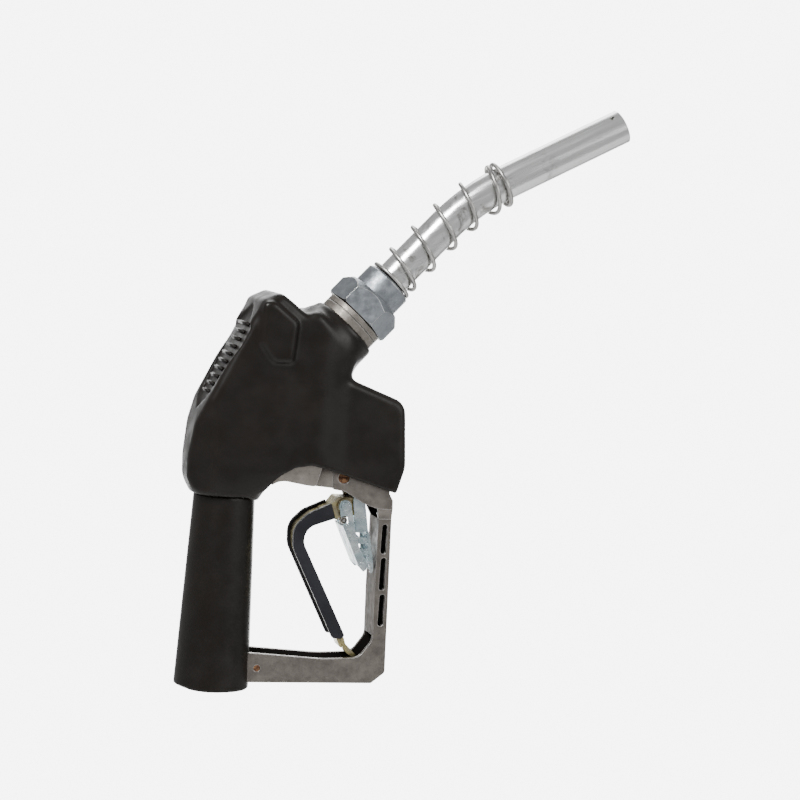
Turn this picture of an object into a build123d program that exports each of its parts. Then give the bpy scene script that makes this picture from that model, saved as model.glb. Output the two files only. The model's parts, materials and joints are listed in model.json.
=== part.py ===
from build123d import *
from math import cos, pi, radians, sin
import os

# Automatic fuel nozzle, modelled as the pieces it comes apart into. All sizes are in millimetres.
# The origin is the centre of the hose inlet's mouth, +Z runs up the handle, +X points to the lever
# guard and Y runs across the nozzle. Outlines lie in the XZ plane and list (x, z, corner radius).

# Vinyl covers over the casting
COVER_WALL = 2.6
COVER_GAP = 0.2
GRIP_MOUTH_R = 22.0
GRIP_TOP_R = 17.9
GRIP_TOP_Z = 113.0
GRIP_OVERHANG = 0.6
FRONT_HALF = 19.0
REAR_HALF = 24.0
LUMP_HALF = 27.0
BOSS_R = 21.0

# Hose inlet and flow bores in the casting
INLET_R = 12.2
INLET_LENGTH = 20.0
FLOW_R = 10.3
FLOW_TOP_Z = 133.0

# Neck, spout nut and spout: distances along the neck start at the end of the vinyl boss
NECK_BASE = Vector(65.7, 0, 214.7)
NECK_ANGLE = 48.5
NECK_R = 18.75
NECK_RING_END = 6.2
NECK_THREAD_R = 16.4
NECK_END = 19.5
NECK_BORE_R = 13.5
NUT_FLATS = 36.8
NUT_TURN = 15.0
NUT_START = 6.9
NUT_END = 22.4
COLLAR_R = 15.0
COLLAR_END = 35.0
SPOUT_ANGLE = 29.1
SPOUT_R = 10.3
SPOUT_WALL = 1.2
SPOUT_START = 11.0
SPOUT_CORNER = 105.0
SPOUT_LAST_RUN = 103.1
SPOUT_BEND_R = 140.0
VENT_HOLE_R = 1.35
VENT_HOLE_FROM_TIP = 5.5
VENT_HOLE_ROLL = 40.0
VENT_TUBE_R = 2.2
VENT_TUBE_OFFSET = 6.4
SPRING_WIRE_R = 1.2
SPRING_MEAN_R = 13.0
SPRING_RUNS = [(1.2, 0.5), (10.0, 0.5), (14.4, 0.5), (18.2, 4.0), (3.0, 1.5)]  # (pitch, turns)
SPRING_STEPS = 12

# Main valve: distances along its axis start at the lower end of the stem
VALVE_FOOT = Vector(73.5, 0, 114.35)
VALVE_TILT = 20.0
STEM_R = 2.4
VALVE_SEAT = 47.4
CHAMBER_R = 11.5

# Trip plunger, latch and diaphragm: one vertical axis in the front block
PLUNGER_X = 82.0
PLUNGER_R = 4.5
PLUNGER_BORE_R = 7.4
DIAPHRAGM_R = 11.0
DIAPHRAGM_Z = 158.0
BALL_Z = 145.5

# Lever, clip and rack: half-widths of the nested channels and their pivots
LEVER_PIVOT = (82.0, 114.0)
LEVER_HALF = 7.4
LEVER_PLATE = 1.8
PIVOT_PIN_R = 2.4
SLEEVE_HALF = 9.2
SLEEVE_WALL = 1.6
RACK_HALF = 8.9
RACK_PLATE = 1.2
CLIP_HALF = 10.4
CLIP_PLATE = 1.1
CLIP_PIVOT = (70.4, 109.0)
CLIP_RIVET_R = 1.8
CATCH_PIN = (83.0, 75.2)
CATCH_PIN_R = 1.1

# Lever guard
GUARD_HALF = 10.2
GUARD_WALL = 2.8
HEAD_HALF = 16.0
GUARD_SCREW = (66.7, 126.6)
GUARD_SCREW_R = 3.4
FOOT_PIN = (24.5, 12.0)
SLOT_WIDTH = 3.5
RUNNING_FIT = 0.05

UP = Vector(0, 0, 1)
ACROSS = Vector(0, 1, 0)


def heading(angle):
    """Unit vector in the XZ plane, at an angle above +X."""
    return Vector(cos(radians(angle)), 0, sin(radians(angle)))


NECK_WAY = heading(NECK_ANGLE)
SPOUT_WAY = heading(SPOUT_ANGLE)
VALVE_WAY = heading(90 + VALVE_TILT)
SPOUT_BEND = NECK_BASE + NECK_WAY * SPOUT_CORNER
SPOUT_TIP = SPOUT_BEND + SPOUT_WAY * SPOUT_LAST_RUN


def outline(corners):
    points = [(x, z) for x, z, radius in corners]
    radii = [radius for x, z, radius in corners]
    return make_face(FilletPolyline(*points, radius=radii, close=True))


def plate(face, low_y, high_y):
    """An XZ outline made solid between two Y values."""
    return extrude(Plane.XZ.offset(-high_y) * face, high_y - low_y)


def slab(corners, half_width, inset=0.0):
    """An outline made solid to both sides of the middle plane, drawn in all round by inset."""
    face = outline(corners)
    if inset:
        face = offset(face, -inset)
    return plate(face, inset - half_width, half_width - inset)


def both_sides(solid):
    return solid + mirror(solid, Plane.XZ)


def turned(corners, base=Vector(0, 0, 0), way=UP):
    """A profile of (radius, distance) corners revolved about an axis."""
    profile = make_face(Polyline(*corners, close=True))
    return Plane(origin=base, z_dir=way) * revolve(Plane.XZ * profile, Axis.Z)


def rod(radius, start, end, base=Vector(0, 0, 0), way=UP):
    """A round bar between two distances along an axis."""
    bar = Cylinder(radius, end - start, align=(Align.CENTER, Align.CENTER, Align.MIN))
    return Plane(origin=base + way * start, z_dir=way) * bar


def ring(outer, inner, start, end, base=Vector(0, 0, 0), way=UP):
    return rod(outer, start, end, base, way) - rod(inner, start - 1, end + 1, base, way)


def cross_pin(radius, spot, half_length):
    """A pin along Y through a point (x, z) of the XZ plane."""
    return rod(radius, -half_length, half_length, Vector(spot[0], 0, spot[1]), ACROSS)


def hexagon(flats, start, end, base, way, turn=0.0):
    prism = extrude(RegularPolygon(flats / 2, 6, major_radius=False, rotation=turn), end - start)
    return Plane(origin=base + way * start, x_dir=ACROSS, z_dir=way) * prism


def coil(mean_radius, wire, start, end, turns, base=Vector(0, 0, 0), way=UP):
    """A helical spring of round wire whose outer faces lie at start and end."""
    height = end - start - 2 * wire
    path = Helix(height / turns, height, mean_radius)
    section = Plane(origin=path @ 0, z_dir=path % 0) * Circle(wire)
    spring = sweep(section, path=path, is_frenet=True)
    return Plane(origin=base + way * (start + wire), z_dir=way) * spring


# ---------------------------------------------------------------- body, covers and handle

BACK_LINE = [
    (18.2, 108, 3), (-17, 112.5, 3), (-24.8, 122, 7), (-22, 158.5, 14), (5.5, 217, 12), (12, 228, 6),
    (20.5, 232.6, 5),
]
BODY = BACK_LINE + [
    (36.5, 220, 6), (44, 223, 3), (66, 200, 2), (66, 184.4, 3), (96.3, 172.8, 7), (103.2, 133.5, 8),
    (98, 117.3, 3), (62, 117.4, 5), (43, 118.9, 20), (27, 121.5, 8),
]
REAR = BACK_LINE + [
    (36.5, 220, 5), (57, 205, 5), (60, 160, 20), (52, 118, 5), (43, 118.9, 5), (27, 121.5, 8),
]
LUMP = [(10, 226, 4), (16, 227, 4), (31, 215.5, 3), (29.5, 192, 6), (18, 192, 8), (9.5, 203.5, 5)]
COVER_LOWER_EDGE = [
    (17.5, 95, 0), (17.5, 111, 0), (19.4, 117.5, 4), (27.7, 127, 8), (45.8, 134.4, 14),
    (60, 130.1, 5), (106, 116.3, 0), (106, 95, 0),
]
# Half-widths seen along X, as (half, z): the back plate, and the taper down to the handle.
BACK_PLATE = [(8, 100), (8.5, 120), (11, 138), (12.3, 157), (20, 181), (26, 201), (26, 245)]
CUFF_TAPER = [(18.4, 100), (18.4, 111), (23.2, 128), (25, 140), (32, 142), (32, 250)]
BACK_PLATE_X = -26.0
FLANK_LENGTH = 31.0
FLANK_SLOPE = 0.8
CUFF_R = 18.8
CUFF_Z = 111.0
CUFF_SPREAD = 1.2
CUFF_END_X = 24.0


def end_view(profile, x, wider):
    """A half-width profile and its mirror image as a face across X, widened all along."""
    right = [(half + wider, z) for half, z in profile]
    left = [(-half, z) for half, z in reversed(right)]
    return Plane.YZ.offset(x) * make_face(Polyline(*right, *left, close=True))


def shield(inset):
    """Room that widens forwards from the back plate, so the body's rear flanks slope."""
    narrow = end_view(BACK_PLATE, BACK_PLATE_X - 1, -FLANK_SLOPE - inset)
    front_x = BACK_PLATE_X + FLANK_LENGTH
    wide = end_view(BACK_PLATE, front_x, FLANK_LENGTH * FLANK_SLOPE - inset)
    ahead = Pos(front_x + 54.9, 0, 172) * Box(110, 120, 150)
    return loft([narrow, wide], ruled=True) + ahead


def cuff_taper(inset):
    return extrude(end_view(CUFF_TAPER, 0, -inset), 150, both=True)


def cuff_corners(inset):
    """What is taken off the body's corners where they run down into the round handle."""
    low_r = CUFF_R - inset
    high_r = low_r + CUFF_SPREAD * (124 - CUFF_Z)
    around = turned([(low_r, 95), (low_r, CUFF_Z), (high_r, 124), (80, 124), (80, 95)])
    return around & Pos(CUFF_END_X - 60, 0, 110) * Box(120, 120, 60)


def handle_cone(inset, low_z, high_z):
    slope = (GRIP_TOP_R - GRIP_MOUTH_R) / GRIP_TOP_Z
    low_r = GRIP_MOUTH_R + slope * low_z - inset
    high_r = GRIP_MOUTH_R + slope * high_z - inset
    return turned([(0, low_z), (low_r, low_z), (high_r, high_z), (0, high_z)])


def body_form(inset):
    """The outer form of cover and casting alike: a larger inset gives the inner faces."""
    form = slab(BODY, FRONT_HALF, inset) + slab(REAR, REAR_HALF, inset)
    form += slab(LUMP, LUMP_HALF, inset)
    form &= shield(inset)
    form &= cuff_taper(inset)
    form -= cuff_corners(inset)
    form += rod(BOSS_R - inset, -40, -1 - inset / 2, NECK_BASE, NECK_WAY)
    return form + handle_cone(inset, 105, 135)


def body_cover():
    cover = body_form(0) - body_form(COVER_WALL)
    cover -= slab(COVER_LOWER_EDGE, 40)
    cover -= Pos(0, 0, GRIP_TOP_Z + COVER_GAP - 30) * Box(80, 80, 60)
    return cover - rod(NECK_R + COVER_GAP, -8, 5, NECK_BASE, NECK_WAY)


def handle_grip():
    grip = handle_cone(0, -GRIP_OVERHANG, GRIP_TOP_Z)
    grip -= handle_cone(COVER_WALL, -5, GRIP_TOP_Z + 5)
    return grip - Pos(25, 0, 12.4) * Box(22, 2 * GUARD_HALF + 0.6, 18.6)


def guard_socket():
    """Room under the front block for the guard's head, with the lug that the head straddles kept."""
    room = slab([(60.2, 100, 0), (60.2, 133.2, 0), (110, 133.2, 0), (110, 100, 0)], 40)
    return room - slab([(60.2, 123, 0), (60.2, 134, 0), (91.8, 134, 0), (91.8, 123, 0)], 13)


def flow_bores():
    bores = rod(INLET_R, -1, INLET_LENGTH) + rod(FLOW_R, 0, FLOW_TOP_Z)
    start = Vector(-3, 0, 126)
    end = VALVE_FOOT + VALVE_WAY * 36
    bores += rod(9.3, 0, (end - start).length, start, (end - start).normalized())
    bores += rod(11.2, 26, VALVE_SEAT + 1, VALVE_FOOT, VALVE_WAY)
    bores += rod(CHAMBER_R, VALVE_SEAT, 84, VALVE_FOOT, VALVE_WAY)
    return bores + rod(NECK_BORE_R, -24, NECK_END + 5, NECK_BASE, NECK_WAY)


def valve_bores():
    bores = rod(STEM_R + 0.2, 0, 30, VALVE_FOOT, VALVE_WAY)
    return bores + rod(6.2, 2, 21.5, VALVE_FOOT, VALVE_WAY)


def latch_bores():
    axis = Vector(PLUNGER_X, 0, 0)
    bores = rod(PLUNGER_BORE_R, 118, 150.5, axis)
    bores += rod(5.2, 150, 155, axis)
    bores += rod(DIAPHRAGM_R - 1.6, 153, DIAPHRAGM_Z + 1, axis)
    return bores + rod(DIAPHRAGM_R + COVER_GAP, DIAPHRAGM_Z, 190, axis)


def foot_lug():
    """The lug at the foot of the handle that the lower rail of the guard is pinned to."""
    lug = slab([(12, 7.2, 0), (28, 7.2, 2), (28, 17, 3), (12, 17, 0)], LEVER_HALF - COVER_GAP)
    return lug - rod(INLET_R, -1, 40)


def body_casting():
    inset = COVER_WALL + COVER_GAP
    casting = body_form(inset) - guard_socket()
    casting -= handle_cone(0, 100, GRIP_TOP_Z + COVER_GAP)
    casting += handle_cone(inset, 0, 120) + foot_lug()
    casting += rod(NECK_R, -5, NECK_RING_END, NECK_BASE, NECK_WAY)
    casting += rod(NECK_THREAD_R, 0, NECK_END, NECK_BASE, NECK_WAY)
    casting -= ring(NECK_R + 1, NECK_R - 0.5, 2.6, 3.2, NECK_BASE, NECK_WAY)
    casting -= flow_bores() + valve_bores()
    casting -= latch_bores()
    casting -= both_sides(rod(2.0, 8, 13.5, Vector(GUARD_SCREW[0], 0, GUARD_SCREW[1]), ACROSS))
    casting -= cross_pin(2.0, FOOT_PIN, 20)
    return casting - rack_screw_shanks(1.25)


# ---------------------------------------------------------------- lever guard

GUARD_OUTER = [
    (17, 3.6, 0), (94, 4.2, 2), (102, 10.8, 3), (101, 40, 60), (98.8, 104, 0), (91, 104, 0),
    (91.8, 60, 80), (93, 30, 8), (85.5, 19.4, 8), (64, 18.2, 80), (17, 21.2, 0),
]
GUARD_CHANNEL = [
    (10, 6.5, 0), (92.8, 7.0, 1.5), (99, 12.2, 2), (98.2, 40, 40), (96, 106, 0), (93.6, 106, 0),
    (94.4, 60, 80), (95.4, 34, 0), (86, 29, 0), (78, 25, 0), (10, 25, 0),
]
HEAD_WALL = [
    (60.4, 133, 0), (60.4, 119.6, 1.5), (68, 118.7, 3), (79.5, 112.1, 10), (86.5, 109.7, 2),
    (91.5, 109, 0), (97.5, 109, 0), (97.2, 114.5, 1), (94.8, 118.5, 1), (94.8, 133, 0),
]
SLOTS = [(95.4, 81.7, 99.4), (96.1, 60.0, 79.4), (97.0, 38.5, 57.7)]


def flare(low_x, low_half, high_x, high_half):
    """The run from the rail's width up to the head's."""
    low = Pos((low_x[0] + low_x[1]) / 2, 0, 102.5) * Rectangle(low_x[1] - low_x[0], 2 * low_half)
    high = Pos((high_x[0] + high_x[1]) / 2, 0, 110) * Rectangle(high_x[1] - high_x[0], 2 * high_half)
    return loft([low, high])


def slot(x, low_z, high_z):
    """A round-ended slot through both walls of the rail."""
    end = SLOT_WIDTH / 2
    corners = [(x - end, low_z, 0.98 * end), (x + end, low_z, 0.98 * end)]
    corners += [(x + end, high_z, 0.98 * end), (x - end, high_z, 0.98 * end)]
    return slab(corners, 30)


def lever_guard():
    inner_head = HEAD_HALF - GUARD_WALL
    guard = slab(GUARD_OUTER, GUARD_HALF)
    guard += flare((91, 98.8), GUARD_HALF, (88, 97.5), HEAD_HALF)
    guard += slab(HEAD_WALL, HEAD_HALF)
    guard -= slab([(50, 100, 0), (50, 140, 0), (92, 140, 0), (92, 111, 0), (86, 100, 0)], inner_head)
    guard -= slab(GUARD_CHANNEL, LEVER_HALF)
    guard -= flare((80, 96), LEVER_HALF, (80, 94.7), inner_head)
    for x, low_z, high_z in SLOTS:
        guard -= slot(x, low_z, high_z)
    guard -= handle_cone(COVER_WALL, -5, 60)
    guard -= cross_pin(GUARD_SCREW_R + RUNNING_FIT, GUARD_SCREW, 30)
    return guard - cross_pin(2.0, FOOT_PIN, 30)


def guard_screws():
    """Two shoulder screws, one from each side, that hold the guard's head to the casting's lug."""
    foot = Vector(GUARD_SCREW[0], 0, GUARD_SCREW[1])
    screw = rod(GUARD_SCREW_R, 13.1, 15.2, foot, ACROSS) + rod(1.95, 8.2, 13.1, foot, ACROSS)
    screw -= Pos(foot.X, 15.2, foot.Z) * Box(6, 1.6, 0.9)
    return both_sides(screw)


def guard_foot_pin():
    return cross_pin(1.95, FOOT_PIN, GUARD_HALF)


# ---------------------------------------------------------------- neck and spout

def spout_nut():
    nut = hexagon(NUT_FLATS, NUT_START, NUT_END, NECK_BASE, NECK_WAY, NUT_TURN)
    nut &= turned(
        [(0, 6), (19.6, 6), (21.6, 8.6), (21.6, 17.6), (17.4, NUT_END), (0, NUT_END)],
        NECK_BASE, NECK_WAY,
    )
    nut -= rod(NECK_THREAD_R + RUNNING_FIT, 6, 21.1, NECK_BASE, NECK_WAY)
    return nut - rod(COLLAR_R + 0.1, 20, 25, NECK_BASE, NECK_WAY)


def spout_adapter():
    """The spigot in the neck, its clamped flange and the collar that holds the spout."""
    adapter = turned(
        [
            (0, 8.4), (13.3, 8.4), (13.3, 19.7), (16.2, 19.7), (16.2, 21.0), (COLLAR_R, 21.0),
            (COLLAR_R, 34), (COLLAR_R - 1, COLLAR_END), (0, COLLAR_END),
        ],
        NECK_BASE, NECK_WAY,
    )
    adapter -= rod(SPOUT_R + RUNNING_FIT, SPOUT_START, 40, NECK_BASE, NECK_WAY)
    adapter -= ring(14, 12.2, 12.4, 14.6, NECK_BASE, NECK_WAY)
    for turn in range(4):
        spot = Plane(origin=NECK_BASE, x_dir=ACROSS, z_dir=NECK_WAY) * Rot(0, 0, 90 * turn) * Pos(6.2, 0, 0)
        adapter -= spot * Pos(0, 0, 9) * Cylinder(3, 8)
    return adapter - rod(1.55, 0, 20, NECK_BASE, NECK_WAY)


def neck_o_ring():
    return Plane(origin=NECK_BASE + NECK_WAY * 13.5, z_dir=NECK_WAY) * Torus(12.85, 0.6)


def spout_path(side=0.0, start=SPOUT_START, cut=0.0):
    """The spout's centre line, or a line beside it on the outer side of the bend."""
    first = Vector(-NECK_WAY.Z, 0, NECK_WAY.X)
    last = Vector(-SPOUT_WAY.Z, 0, SPOUT_WAY.X)
    corner = SPOUT_BEND + (first + last) * (side / (1 + first.dot(last)))
    begin = NECK_BASE + NECK_WAY * start + first * side
    end = SPOUT_TIP - SPOUT_WAY * cut + last * side
    return FilletPolyline(begin, corner, end, radius=SPOUT_BEND_R + side)


def along(path, radius):
    return sweep(Plane(origin=path @ 0, z_dir=NECK_WAY) * Circle(radius), path=path)


def vent_way():
    """From the spout's axis to its vent hole: up and a little to the near side."""
    last = Vector(-SPOUT_WAY.Z, 0, SPOUT_WAY.X)
    roll = radians(VENT_HOLE_ROLL)
    return last * cos(roll) - ACROSS * sin(roll)


def spout_tube():
    path = spout_path()
    tube = along(path, SPOUT_R) - along(path, SPOUT_R - SPOUT_WALL)
    spot = SPOUT_TIP - SPOUT_WAY * VENT_HOLE_FROM_TIP
    return tube - rod(VENT_HOLE_R, 3, 15, spot, vent_way())


def vent_tube():
    """The sensing tube inside the spout, with a stub that meets the wall at the vent hole."""
    tube = along(spout_path(VENT_TUBE_OFFSET, 14.0, 3.0), VENT_TUBE_R)
    spot = SPOUT_TIP - SPOUT_WAY * VENT_HOLE_FROM_TIP
    last = Vector(-SPOUT_WAY.Z, 0, SPOUT_WAY.X)
    centre = spot + last * VENT_TUBE_OFFSET
    mouth = spot + vent_way() * (SPOUT_R - SPOUT_WALL - 1.3)
    stub = rod(1.7, 0, (mouth - centre).length, centre, (mouth - centre).normalized())
    return tube + stub


def spout_spring():
    """The anchor spring: a coil that follows the bent spout, closed up at both ends."""
    path = spout_path()
    advances = []
    for pitch, turns in SPRING_RUNS:
        advances += [pitch / SPRING_STEPS] * int(turns * SPRING_STEPS)
    travel = COLLAR_END + SPRING_WIRE_R + 0.3 - SPOUT_START
    centres = []
    for index, advance in enumerate(advances):
        angle = pi + 2 * pi * index / SPRING_STEPS
        where = path.position_at(travel, position_mode=PositionMode.LENGTH)
        way = path.tangent_at(travel, position_mode=PositionMode.LENGTH)
        side = Vector(-way.Z, 0, way.X)
        centres.append(where + side * (SPRING_MEAN_R * cos(angle)) + ACROSS * (SPRING_MEAN_R * sin(angle)))
        travel += advance
    wire = Spline(*centres)
    return sweep(Plane(origin=wire @ 0, z_dir=wire % 0) * Circle(SPRING_WIRE_R), path=wire)


# ---------------------------------------------------------------- main valve

def packing_nut():
    nut = ring(6.15, STEM_R + RUNNING_FIT, 12.2, 18, VALVE_FOOT, VALVE_WAY)
    slots = Plane(origin=VALVE_FOOT + VALVE_WAY * 12.2, x_dir=ACROSS, z_dir=VALVE_WAY) * Box(13, 2, 3)
    return nut - slots


def stem_packing():
    return ring(6.1, STEM_R + RUNNING_FIT, 18.1, 21.4, VALVE_FOOT, VALVE_WAY)


def valve_seat():
    corners = [(7.5, 43.5), (11.15, 43.5), (11.15, VALVE_SEAT), (9.0, VALVE_SEAT), (7.5, VALVE_SEAT - 0.8)]
    return turned(corners, VALVE_FOOT, VALVE_WAY)


def valve_stem():
    foot = VALVE_FOOT + VALVE_WAY * STEM_R
    stem = rod(STEM_R, STEM_R, 52, VALVE_FOOT, VALVE_WAY) + Pos(foot) * Sphere(STEM_R)
    return stem + rod(1.5, 51, 60, VALVE_FOOT, VALVE_WAY)


def poppet_disc():
    return ring(9.4, STEM_R + 0.02, VALVE_SEAT + 0.08, 49.2, VALVE_FOOT, VALVE_WAY)


def main_poppet():
    corners = [(0, 49.2), (10.2, 49.2), (10.2, 52.4), (6.2, 52.4), (5.2, 57), (0, 57)]
    poppet = turned(corners, VALVE_FOOT, VALVE_WAY)
    poppet -= rod(STEM_R + 0.02, 48, 52, VALVE_FOOT, VALVE_WAY)
    return poppet - rod(1.52, 50, 60, VALVE_FOOT, VALVE_WAY)


def poppet_spring():
    return coil(7.6, 0.8, 52.5, 69.9, 5, VALVE_FOOT, VALVE_WAY)


def spring_retainer():
    """A drilled ring that backs up the main spring and lets fuel through to the neck."""
    retainer = ring(CHAMBER_R - 0.05, 3.0, 70, 73.5, VALVE_FOOT, VALVE_WAY)
    for turn in range(6):
        spot = Plane(origin=VALVE_FOOT + VALVE_WAY * 72, x_dir=ACROSS, z_dir=VALVE_WAY)
        retainer -= spot * Rot(0, 0, 60 * turn) * Pos(5.0, 0, 0) * Cylinder(1.6, 8)
    return retainer


# ---------------------------------------------------------------- check valve in the neck

def check_seat():
    corners = [(8, -9), (13.45, -9), (13.45, -3.2), (9.6, -3.2), (8, -5)]
    return turned(corners, NECK_BASE, NECK_WAY)


def check_poppet():
    corners = [(0, -6.4), (6.5, -4.6), (8.8, -3.1), (9.5, -3.1), (9.5, -0.6), (1.5, -0.6), (1.5, 9.6), (0, 9.6)]
    return turned(corners, NECK_BASE, NECK_WAY)


def check_spring():
    return coil(4.4, 0.5, -0.55, 8.35, 4, NECK_BASE, NECK_WAY)


# ---------------------------------------------------------------- trip plunger, latch and diaphragm

def on_plunger(z=0.0):
    return Vector(PLUNGER_X, 0, z)


def ball_ways():
    """The three directions in which the latch balls sit around the plunger's axis."""
    return [Vector(cos(2 * pi * third / 3), sin(2 * pi * third / 3), 0) for third in range(3)]


def plunger():
    corners = [
        (0, 110.2), (3.4, 110.2), (PLUNGER_R, 111.3), (PLUNGER_R, 138), (6.9, 138), (6.9, 140),
        (PLUNGER_R, 140), (PLUNGER_R, 149), (3.8, 149.7), (0, 149.7),
    ]
    post = turned(corners, on_plunger())
    post -= cross_pin(PIVOT_PIN_R + 0.02, LEVER_PIVOT, 10)
    post -= rod(1.9, 132, 151, on_plunger())
    for way in ball_ways():
        post -= rod(1.75, 1, 6, on_plunger(BALL_Z), way)
    return post


def plunger_bushing():
    bushing = ring(PLUNGER_BORE_R - 0.05, PLUNGER_R + RUNNING_FIT, 121.4, 127.4, on_plunger())
    return bushing - ring(9, 6.4, 121, 122.6, on_plunger())


def plunger_spring():
    return coil(5.7, 0.7, 127.5, 137.9, 4, on_plunger())


def latch_ring():
    corners = [(5.5, 142.6), (7.35, 142.6), (7.35, 150.3), (5.0, 150.3), (5.0, 148.4), (5.5, 147.6)]
    return turned(corners, on_plunger())


def latch_balls():
    return Compound([Pos(on_plunger(BALL_Z) + way * 3.7) * Sphere(1.5) for way in ball_ways()])


def latch_pin():
    """The pin that backs up the balls, with its washers above and below the diaphragm."""
    corners = [
        (0, 134), (1.8, 134), (1.8, 156.4), (7.5, 156.4), (7.5, DIAPHRAGM_Z - 0.05),
        (1.8, DIAPHRAGM_Z - 0.05), (1.8, 159.45), (7.0, 159.45), (7.0, 160.3), (0, 160.3),
    ]
    return turned(corners, on_plunger())


def diaphragm():
    return ring(DIAPHRAGM_R, 1.9, DIAPHRAGM_Z + 0.05, DIAPHRAGM_Z + 1.2, on_plunger())


def diaphragm_spring():
    return coil(5.6, 0.5, 160.35, 166.1, 3, on_plunger())


def diaphragm_cap():
    corners = [
        (DIAPHRAGM_R - 1.7, 159.3), (DIAPHRAGM_R + 0.15, 159.3), (DIAPHRAGM_R + 0.15, 167.6),
        (0, 167.6), (0, 166.2), (DIAPHRAGM_R - 1.7, 166.2),
    ]
    cap = turned(corners, on_plunger())
    return cap - Pos(on_plunger(167.6)) * Box(12, 2.4, 1.6)


# ---------------------------------------------------------------- lever and its sleeve

SLEEVE = [
    (62.2, 110.2, 0), (49, 104, 10), (40.6, 95.5, 12), (41.2, 83, 14), (68.7, 30.6, 1.5),
    (74.3, 30.2, 1.2), (76, 32.4, 1.2), (46.9, 87, 9), (48.8, 95.6, 9), (65.1, 101.6, 0),
]
LEVER_HEAD = [
    (57, 106.3, 0), (61.8, 108.4, 3), (65.8, 114, 2), (82, 114, 0), (82, 110.4, 0),
    (80.2, 108.2, 3), (76.2, 103.4, 4), (70, 101.8, 0), (66.4, 101.9, 1), (62.9, 102.7, 0),
    (58, 101, 0),
]
LEVER_HEAD_HOLLOW = [
    (56, 101, 0), (56.5, 104.2, 0), (62.6, 106.8, 3), (66.8, 112.2, 1), (76.4, 112.2, 0),
    (76.4, 120, 0), (92, 120, 0), (92, 100, 0),
]
HANDLE_SIDE = [
    (20, 22, 0), (76.4, 22, 0), (43.9, 84, 9), (44.2, 94.6, 8), (51, 101.6, 5), (64, 106, 3),
    (67, 110.6, 2), (76.4, 110.6, 0), (76.4, 135, 0), (20, 135, 0),
]
TONGUE = [
    (71.4, 34, 0), (77.0, 30, 0), (78.2, 26.4, 1.5), (87, 18, 0.6), (85.4, 17, 0.6),
    (79.4, 20.6, 3), (74.6, 26.6, 1), (71, 32, 0),
]
WEB_TAB = [(70.4, 33, 0), (72.2, 33, 0), (76, 25, 0.5), (74.7, 24.3, 0.5)]
SPRING_PIN = (70.3, 100.6)


def disc(spot, radius):
    return Pos(spot[0], spot[1]) * Circle(radius)


def lever_outline():
    face = offset(outline(SLEEVE), -SLEEVE_WALL) + outline(LEVER_HEAD)
    return face + disc(LEVER_PIVOT, 3.6) + disc(SPRING_PIN, 2.0)


def lever():
    """A pressed channel: web towards the handle, open towards the fingers, tongue at the foot."""
    face = lever_outline()
    inner = LEVER_HALF - LEVER_PLATE
    channel = plate(face, -LEVER_HALF, LEVER_HALF)
    channel -= slab(LEVER_HEAD_HOLLOW, inner)
    channel -= plate(face - outline(HANDLE_SIDE), -inner, inner)
    channel += slab(TONGUE, 4.5) + slab(WEB_TAB, 6.0)
    channel -= cross_pin(PIVOT_PIN_R + RUNNING_FIT, LEVER_PIVOT, 10)
    channel -= cross_pin(CLIP_RIVET_R + 0.02, CLIP_PIVOT, 10)
    return channel - cross_pin(1.02, SPRING_PIN, 10)


def lever_sleeve():
    sleeve = slab(SLEEVE, SLEEVE_HALF)
    sleeve -= plate(lever_outline(), -LEVER_HALF - RUNNING_FIT, LEVER_HALF + RUNNING_FIT)
    sleeve -= slab(HANDLE_SIDE, LEVER_HALF - 0.6) & slab(SLEEVE, 20)
    return sleeve - slab(TONGUE, 4.55) - slab(WEB_TAB, 6.05)


def lever_pivot_pin():
    return cross_pin(PIVOT_PIN_R, LEVER_PIVOT, LEVER_HALF + 0.1)


# ---------------------------------------------------------------- hold-open clip

CLIP_SIDE = [
    (66.8, 108, 3), (68.4, 101.5, 2), (69.9, 97.1, 0), (81, 73.8, 3), (84.1, 70.7, 0.8),
    (85.8, 72.1, 0.8), (86, 74.4, 1.5), (84.4, 78.6, 3), (80.6, 85, 8), (78.2, 92.5, 12), (76.2, 100, 8),
    (74.1, 108.5, 0), (70.4, 109, 0),
]
CLIP_WEB = [(69.9, 97.1, 0), (81, 73.8, 0), (82.0, 74.3, 0), (70.9, 97.6, 0)]


def hold_open_clip():
    side = outline(CLIP_SIDE) + disc(CLIP_PIVOT, 3.8)
    side -= disc(CLIP_PIVOT, CLIP_RIVET_R + RUNNING_FIT)
    side -= disc(SPRING_PIN, 2.9) + disc(CATCH_PIN, CATCH_PIN_R + 0.01)
    clip = both_sides(plate(side, CLIP_HALF - CLIP_PLATE, CLIP_HALF))
    return clip + slab(CLIP_WEB, CLIP_HALF - CLIP_PLATE / 2)


def clip_rivet():
    head = cross_pin(2.5, CLIP_PIVOT, CLIP_HALF + 0.8) - cross_pin(9, CLIP_PIVOT, CLIP_HALF + 0.05)
    return cross_pin(CLIP_RIVET_R, CLIP_PIVOT, CLIP_HALF + 0.8) + head


def clip_washers():
    washers = cross_pin(4.4, CLIP_PIVOT, CLIP_HALF - CLIP_PLATE - 0.05)
    washers -= cross_pin(9, CLIP_PIVOT, LEVER_HALF)
    return washers - cross_pin(CLIP_RIVET_R + 0.02, CLIP_PIVOT, 20)


def clip_catch_pin():
    return cross_pin(CATCH_PIN_R, CATCH_PIN, CLIP_HALF)


def clip_spring_pin():
    return cross_pin(1.0, SPRING_PIN, CLIP_HALF - CLIP_PLATE - 0.2)


def clip_spring():
    """A double torsion spring: one small coil on each side of the lever, each with a straight leg."""
    spot = Vector(SPRING_PIN[0], 0, SPRING_PIN[1])
    one = coil(1.9, 0.42, LEVER_HALF + 0.08, CLIP_HALF - CLIP_PLATE - 0.05, 1.1, spot, ACROSS)
    return both_sides(one)


# ---------------------------------------------------------------- rack

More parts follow.
